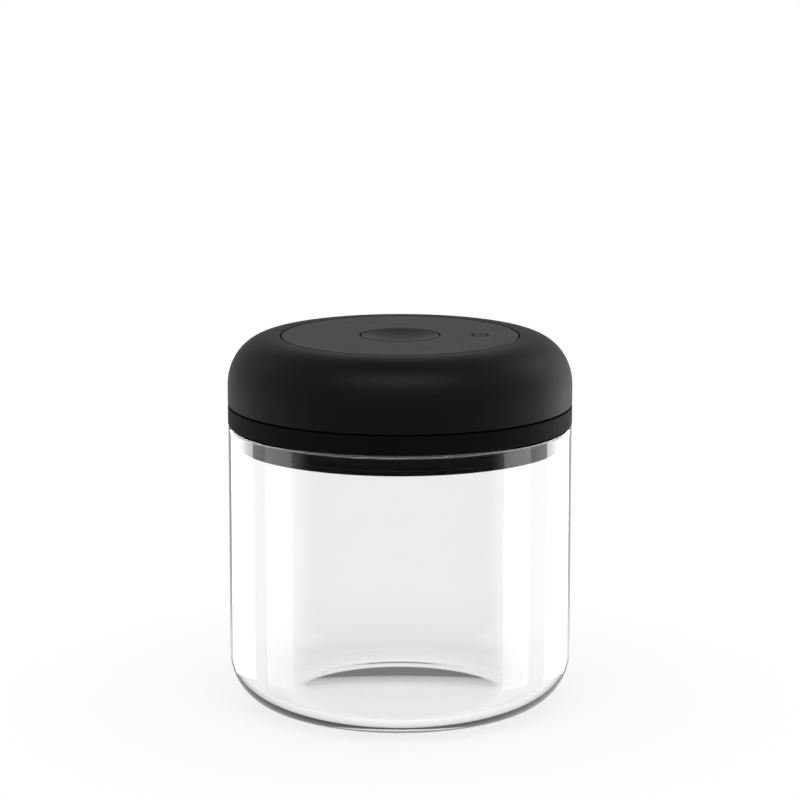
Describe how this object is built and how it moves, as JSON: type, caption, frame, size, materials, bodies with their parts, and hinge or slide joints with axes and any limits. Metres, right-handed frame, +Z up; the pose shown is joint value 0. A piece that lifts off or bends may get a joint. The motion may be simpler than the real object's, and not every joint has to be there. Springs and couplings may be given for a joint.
{
  "type": "vacuum seal canister",
  "caption": "Clear round glass jar with a black twist-pump lid: turning the cap to and fro draws the air out, a dished button lets it back in, and a small pin shows the vacuum.",
  "frame": {"origin": "middle of the jar's standing ring, on the surface that it stands on", "axes": "+Z up along the jar, -Y the front in the picture, +X towards the vacuum indicator"},
  "size_m": [0.1136, 0.1136, 0.1232],
  "materials": {
    "clear_glass": "clear, polished",
    "cap_plastic": "fine soft-touch matte black",
    "disc_plastic": "fine matte black",
    "base_plastic": "satin black",
    "button_plastic": "fine matte black",
    "silicone": "soft matte dark grey",
    "white_acetal": "natural white, smooth",
    "pump_plastic": "mid grey, smooth",
    "steel": "bright drawn steel",
    "filter_felt": "fine white felt"
  },
  "bodies": {
    "jar": {"glass_jar": "clear_glass"},
    "lid": {"lid_base": "base_plastic", "jar_gasket": "silicone", "bottom_cover": "base_plastic", "cover_screws": "steel", "inlet_filter": "filter_felt", "bearing_ring": "base_plastic", "bridge_plate": "base_plastic", "plate_screws": "steel", "top_disc": "disc_plastic", "button_spring": "steel", "indicator_spring": "steel", "indicator_diaphragm": "silicone", "gear_axles": "steel", "pump_cylinder_front": "pump_plastic", "pump_cylinder_rear": "pump_plastic", "intake_valves": "silicone", "exhaust_valves": "silicone", "pump_screws": "steel"},
    "cap": {"twist_cap": "cap_plastic", "ring_gear": "base_plastic"},
    "front_gear": {"drive_gear_front": "white_acetal"},
    "rear_gear": {"drive_gear_rear": "white_acetal"},
    "front_piston": {"rack_piston_front": "white_acetal", "piston_seal_front": "silicone"},
    "rear_piston": {"rack_piston_rear": "white_acetal", "piston_seal_rear": "silicone"},
    "release": {"release_button": "button_plastic", "vent_stem": "white_acetal", "vent_seal": "silicone"},
    "indicator": {"vacuum_indicator": "button_plastic"}
  },
  "joints": [
    {"name": "lid_lift", "type": "slide", "parent": "jar", "child": "lid", "axis": [0, 0, 1], "range_m": [0, 0.12]},
    {"name": "cap_twist", "type": "hinge", "parent": "lid", "child": "cap", "pos_m": [0, 0, 0.1], "axis": [0, 0, 1], "range_deg": [-24, 24]},
    {"name": "front_gear_spin", "type": "hinge", "parent": "lid", "child": "front_gear", "pos_m": [0, -0.03374, 0.1], "axis": [0, 0, 1], "range_deg": [-89, 89]},
    {"name": "rear_gear_spin", "type": "hinge", "parent": "lid", "child": "rear_gear", "pos_m": [0, 0.03374, 0.1], "axis": [0, 0, 1], "range_deg": [-89, 89]},
    {"name": "front_piston_stroke", "type": "slide", "parent": "lid", "child": "front_piston", "axis": [1, 0, 0], "range_m": [-0.00935, 0.00935]},
    {"name": "rear_piston_stroke", "type": "slide", "parent": "lid", "child": "rear_piston", "axis": [-1, 0, 0], "range_m": [-0.00935, 0.00935]},
    {"name": "release_press", "type": "slide", "parent": "lid", "child": "release", "axis": [0, 0, -1], "range_m": [0, 0.0025], "stiffness_N_per_m": 800, "springref_m": -0.004, "deforming": ["button_spring"]},
    {"name": "indicator_drop", "type": "slide", "parent": "lid", "child": "indicator", "axis": [0, 0, -1], "range_m": [0, 0.002], "stiffness_N_per_m": 150, "springref_m": -0.002, "deforming": ["indicator_spring", "indicator_diaphragm"]}
  ],
  "couplings": [
    {"joint": "front_gear_spin", "follows": "cap_twist", "ratio": 3.7},
    {"joint": "rear_gear_spin", "follows": "cap_twist", "ratio": 3.7},
    {"joint": "front_piston_stroke", "follows": "cap_twist", "m_per_rad": -0.022192},
    {"joint": "rear_piston_stroke", "follows": "cap_twist", "m_per_rad": -0.022192}
  ]
}
